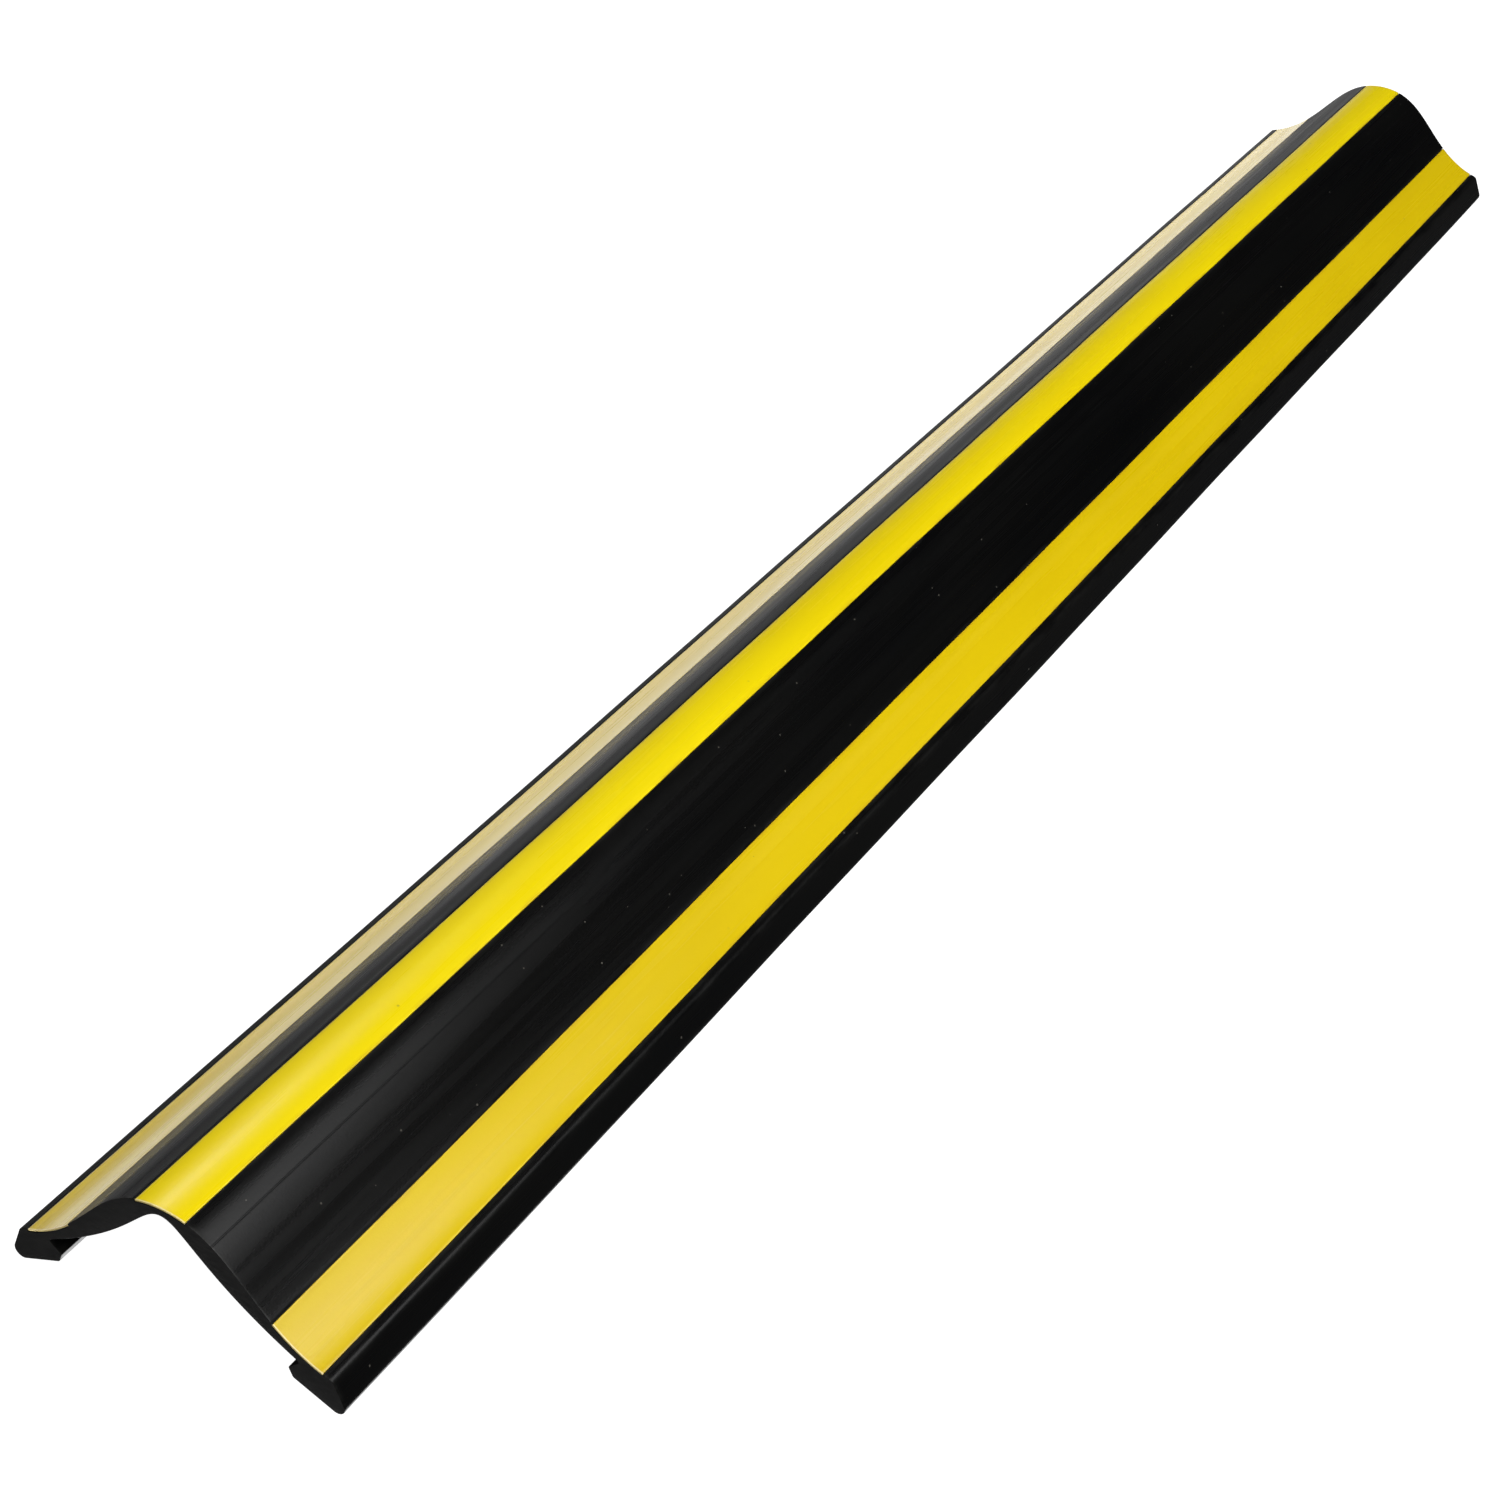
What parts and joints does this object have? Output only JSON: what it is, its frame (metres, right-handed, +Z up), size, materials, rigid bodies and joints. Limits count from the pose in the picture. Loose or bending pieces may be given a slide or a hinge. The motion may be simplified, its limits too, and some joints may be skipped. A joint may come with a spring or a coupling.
{
  "type": "parking wheel stop",
  "caption": "Low arched floor profile in flexible black rubber with flush yellow stripes along its crest and feet, a hollow underside and adhesive-taped soles.",
  "frame": {"origin": "on the floor under the crest, halfway along the stop", "axes": "+Y along the length, +X across towards the right foot, +Z up from the floor to the crest"},
  "size_m": [0.124, 1, 0.0504],
  "materials": {
    "black_rubber": "satin, extruded",
    "yellow_inlay": "satin, extruded",
    "foam_tape": "matt closed-cell foam with an adhesive face"
  },
  "bodies": {
    "root": {"black_profile": "black_rubber", "crest_stripe": "yellow_inlay", "left_foot_stripe": "yellow_inlay", "right_foot_stripe": "yellow_inlay", "left_adhesive_tape": "foam_tape", "right_adhesive_tape": "foam_tape"}
  },
  "joints": []
}
